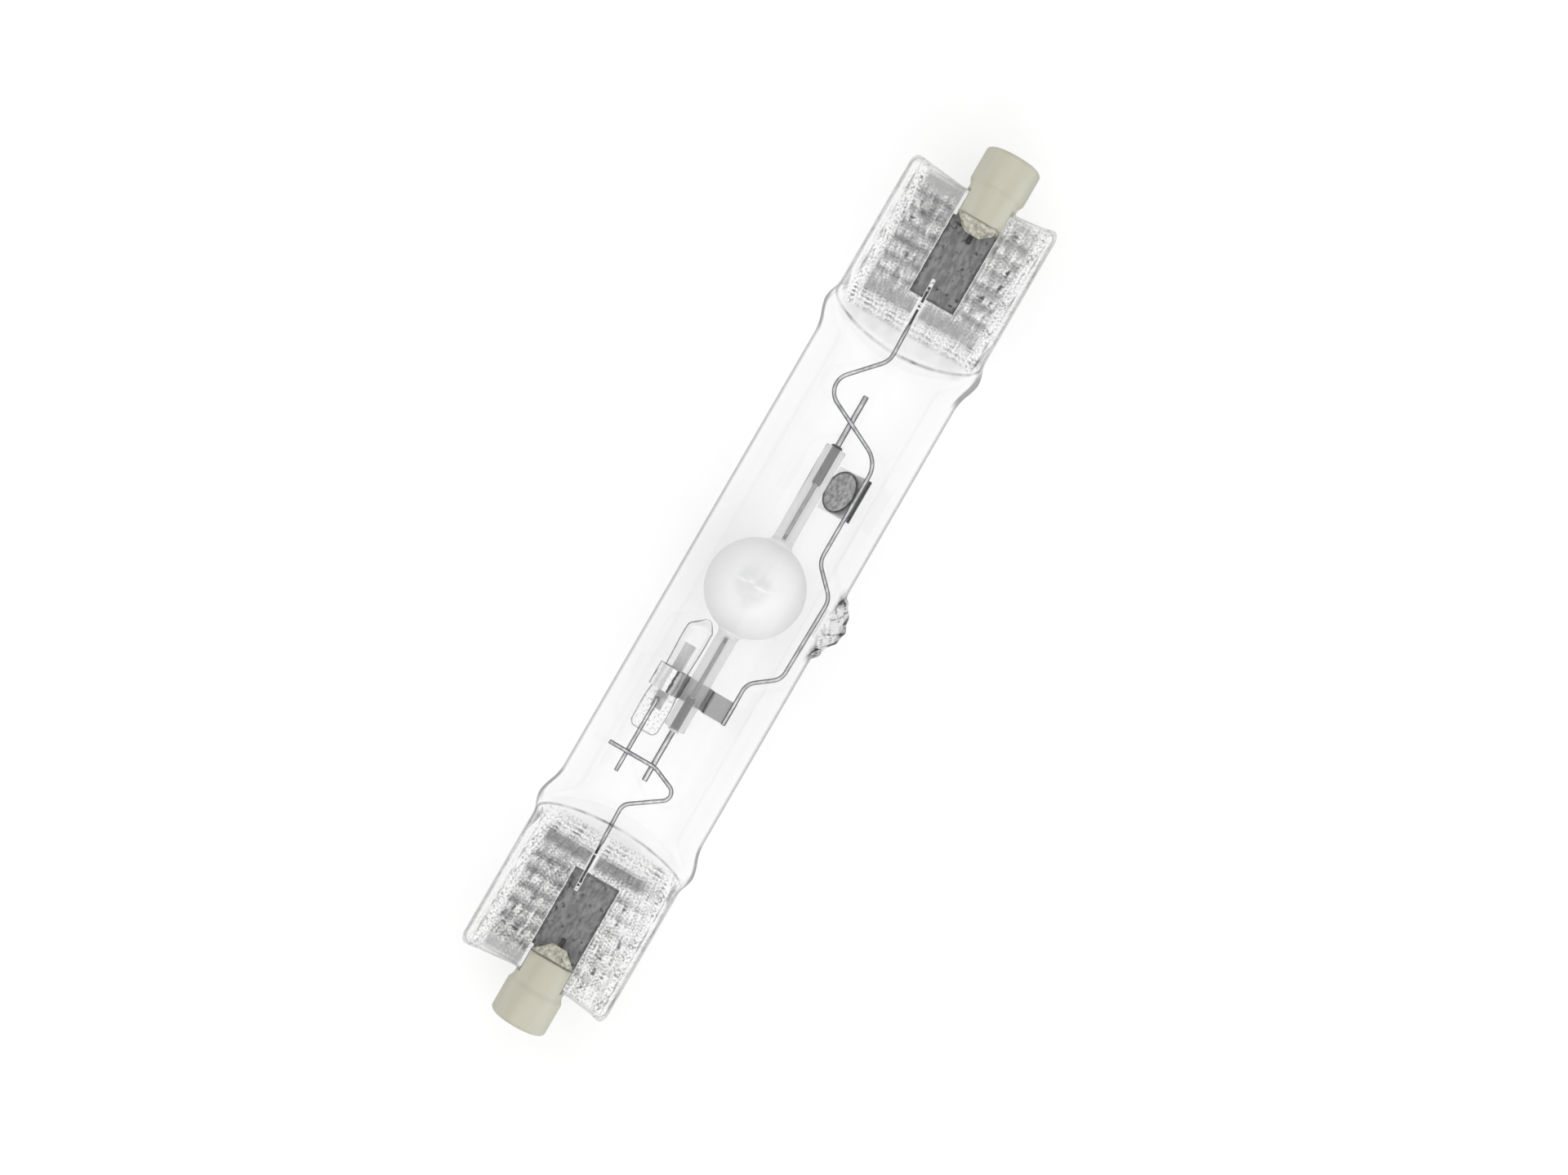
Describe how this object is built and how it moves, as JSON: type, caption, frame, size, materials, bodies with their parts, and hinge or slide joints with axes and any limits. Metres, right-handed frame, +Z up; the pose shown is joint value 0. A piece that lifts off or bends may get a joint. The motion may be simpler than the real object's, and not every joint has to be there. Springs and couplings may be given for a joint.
{
  "type": "double ended metal halide lamp",
  "caption": "Clear quartz tube pressed flat at both ends, with a ceramic arc tube and support wires inside and a round ceramic cap with a recessed contact at each end.",
  "frame": {"origin": "middle of the lamp's footprint, on the surface that the tube lies on", "axes": "+X along the lamp towards the end with the getter, +Z up, square to the pressed ends' flat faces, +Y away from the exhaust tip"},
  "size_m": [0.1176, 0.022, 0.019],
  "materials": {
    "quartz_glass": "clear, polished by the flame",
    "cap_ceramic": "fine matt",
    "cap_cement": "grainy",
    "contact_metal": "dull nickel plate",
    "molybdenum_foil": "satin",
    "nickel_wire": "bright drawn wire",
    "niobium_rod": "satin",
    "feedthrough_rod": "satin",
    "tungsten": "satin",
    "alumina_ceramic": "smooth, translucent white",
    "frit_glass": "glazed",
    "halide_salts": "crystalline",
    "steel_sheet": "rolled sheet",
    "getter_compact": "pressed powder"
  },
  "bodies": {
    "root": {"arc_tube": "alumina_ceramic", "cap_left": "cap_ceramic", "cap_right": "cap_ceramic", "cement_left": "cap_cement", "cement_right": "cap_cement", "contact_left": "contact_metal", "contact_right": "contact_metal", "electrode_coil_left": "tungsten", "electrode_coil_right": "tungsten", "electrode_left": "tungsten", "electrode_right": "tungsten", "envelope": "quartz_glass", "feedthrough_left": "feedthrough_rod", "feedthrough_right": "feedthrough_rod", "foil_left": "molybdenum_foil", "foil_right": "molybdenum_foil", "frame_wire": "nickel_wire", "frit_seal_left": "frit_glass", "frit_seal_right": "frit_glass", "getter": "getter_compact", "getter_holder": "steel_sheet", "halide_dose": "halide_salts", "lead_wire_left": "nickel_wire", "niobium_rod_left": "niobium_rod", "niobium_rod_right": "niobium_rod", "outer_lead_left": "nickel_wire", "outer_lead_right": "nickel_wire", "starting_aid_capsule": "quartz_glass", "starting_aid_foil": "molybdenum_foil", "starting_aid_lead": "nickel_wire", "strap": "steel_sheet"}
  },
  "joints": []
}
